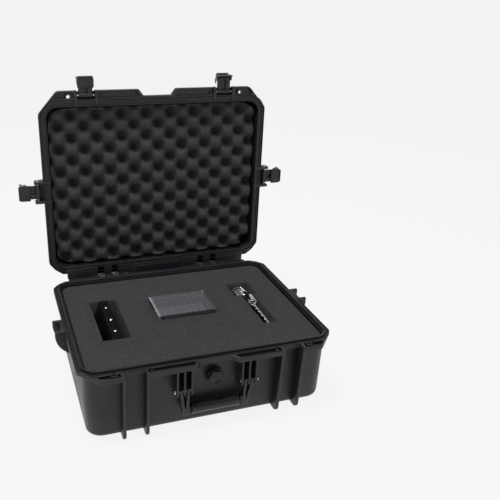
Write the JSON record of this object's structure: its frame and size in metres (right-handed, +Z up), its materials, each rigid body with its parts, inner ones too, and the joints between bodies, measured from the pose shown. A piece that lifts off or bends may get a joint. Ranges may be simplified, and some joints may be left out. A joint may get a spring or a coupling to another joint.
{
  "type": "hard equipment case",
  "caption": "Lockable hard case, open, with a hinged lid, swinging latches, a drop handle, cut foam and stowed hand tools.",
  "frame": {"origin": "on the ground, under the middle of the open case's box", "axes": "+X to the right seen from the handle side, along the hinge; +Y from the handle towards the hinge; +Z up"},
  "size_m": [0.604, 0.4944, 0.5896],
  "materials": {
    "shell": "matte",
    "latch": "satin",
    "foam": "matte",
    "seal": "matte",
    "grip": "satin",
    "pin": "satin",
    "chrome": "polished",
    "dark_gloss": "gloss",
    "clear": "gloss"
  },
  "bodies": {
    "base": {"base_shell": "shell", "hinge_pin_left": "pin", "hinge_pin_right": "pin", "foam_insert": "foam", "foam_pad": "foam", "valve_body": "latch", "valve_seal": "seal", "valve_nut": "latch", "handle_pin_left": "pin", "handle_pin_right": "pin"},
    "valve_knob": {"valve_knob": "latch"},
    "handle": {"handle_frame": "latch", "handle_grip": "grip"},
    "lid": {"lid_shell": "shell", "lid_gasket": "seal", "lid_foam": "foam", "latch_pin_front_left": "pin", "latch_pin_front_right": "pin", "latch_pin_side_left": "pin", "latch_pin_side_right": "pin"},
    "arm_front_left": {"latch_arm_front_left": "latch", "lever_pin_front_left": "pin"},
    "lever_front_left": {"latch_lever_front_left": "latch"},
    "arm_front_right": {"latch_arm_front_right": "latch", "lever_pin_front_right": "pin"},
    "lever_front_right": {"latch_lever_front_right": "latch"},
    "arm_side_left": {"latch_arm_side_left": "latch", "lever_pin_side_left": "pin"},
    "lever_side_left": {"latch_lever_side_left": "latch"},
    "arm_side_right": {"latch_arm_side_right": "latch", "lever_pin_side_right": "pin"},
    "lever_side_right": {"latch_lever_side_right": "latch"},
    "clear_box": {"clear_cover": "clear", "clear_box_tray": "dark_gloss"},
    "hand_tool": {"tool_head": "chrome", "tool_ring_1": "chrome", "tool_ring_2": "chrome", "tool_ring_3": "chrome", "tool_body": "chrome", "tool_lens": "dark_gloss", "tool_handle": "chrome"},
    "black_tool": {"black_tool_spine": "dark_gloss", "black_tool_rivet_1": "pin", "black_tool_rivet_2": "pin", "black_tool_rivet_3": "pin", "black_tool_left_cover": "dark_gloss", "black_tool_right_cover": "dark_gloss"}
  },
  "joints": [
    {"name": "lid_hinge", "type": "hinge", "parent": "base", "child": "lid", "pos_m": [0, 0.17415, 0.139], "axis": [-1, 0, 0], "range_deg": [-90, 0]},
    {"name": "handle_pivot", "type": "hinge", "parent": "base", "child": "handle", "pos_m": [0, -0.24145, 0.092], "axis": [-1, 0, 0], "range_deg": [0, 90]},
    {"name": "valve_turn", "type": "hinge", "parent": "base", "child": "valve_knob", "pos_m": [0, -0.2354, 0.104], "axis": [0, -1, 0], "range_deg": [0, 180]},
    {"name": "latch_front_left", "type": "hinge", "parent": "lid", "child": "arm_front_left", "pos_m": [-0.1515, 0.18915, 0.5496], "axis": [-1, 0, 0], "range_deg": [-90, 0]},
    {"name": "latch_front_right", "type": "hinge", "parent": "lid", "child": "arm_front_right", "pos_m": [0.1515, 0.18915, 0.5496], "axis": [-1, 0, 0], "range_deg": [-90, 0]},
    {"name": "latch_side_left", "type": "hinge", "parent": "lid", "child": "arm_side_left", "pos_m": [-0.262, 0.18915, 0.3486], "axis": [0, 0, -1], "range_deg": [-90, 0]},
    {"name": "latch_side_right", "type": "hinge", "parent": "lid", "child": "arm_side_right", "pos_m": [0.262, 0.18915, 0.3486], "axis": [0, 0, 1], "range_deg": [-90, 0]},
    {"name": "lever_front_left", "type": "hinge", "parent": "arm_front_left", "child": "lever_front_left", "pos_m": [-0.1515, 0.19065, 0.5776], "axis": [1, 0, 0], "range_deg": [-180, 0]},
    {"name": "lever_front_right", "type": "hinge", "parent": "arm_front_right", "child": "lever_front_right", "pos_m": [0.1515, 0.19065, 0.5776], "axis": [1, 0, 0], "range_deg": [-90, 90]},
    {"name": "lever_side_left", "type": "hinge", "parent": "arm_side_left", "child": "lever_side_left", "pos_m": [-0.29, 0.19065, 0.3486], "axis": [0, 0, 1], "range_deg": [-180, 0]},
    {"name": "lever_side_right", "type": "hinge", "parent": "arm_side_right", "child": "lever_side_right", "pos_m": [0.29, 0.19065, 0.3486], "axis": [0, 0, -1], "range_deg": [-180, 0]},
    {"name": "clear_box_lift", "type": "slide", "parent": "base", "child": "clear_box", "axis": [0, 0, 1], "range_m": [0, 0.06]},
    {"name": "hand_tool_lift", "type": "slide", "parent": "base", "child": "hand_tool", "axis": [0, 0, 1], "range_m": [0, 0.11]},
    {"name": "black_tool_lift", "type": "slide", "parent": "base", "child": "black_tool", "axis": [0, 0, 1], "range_m": [0, 0.11]}
  ]
}
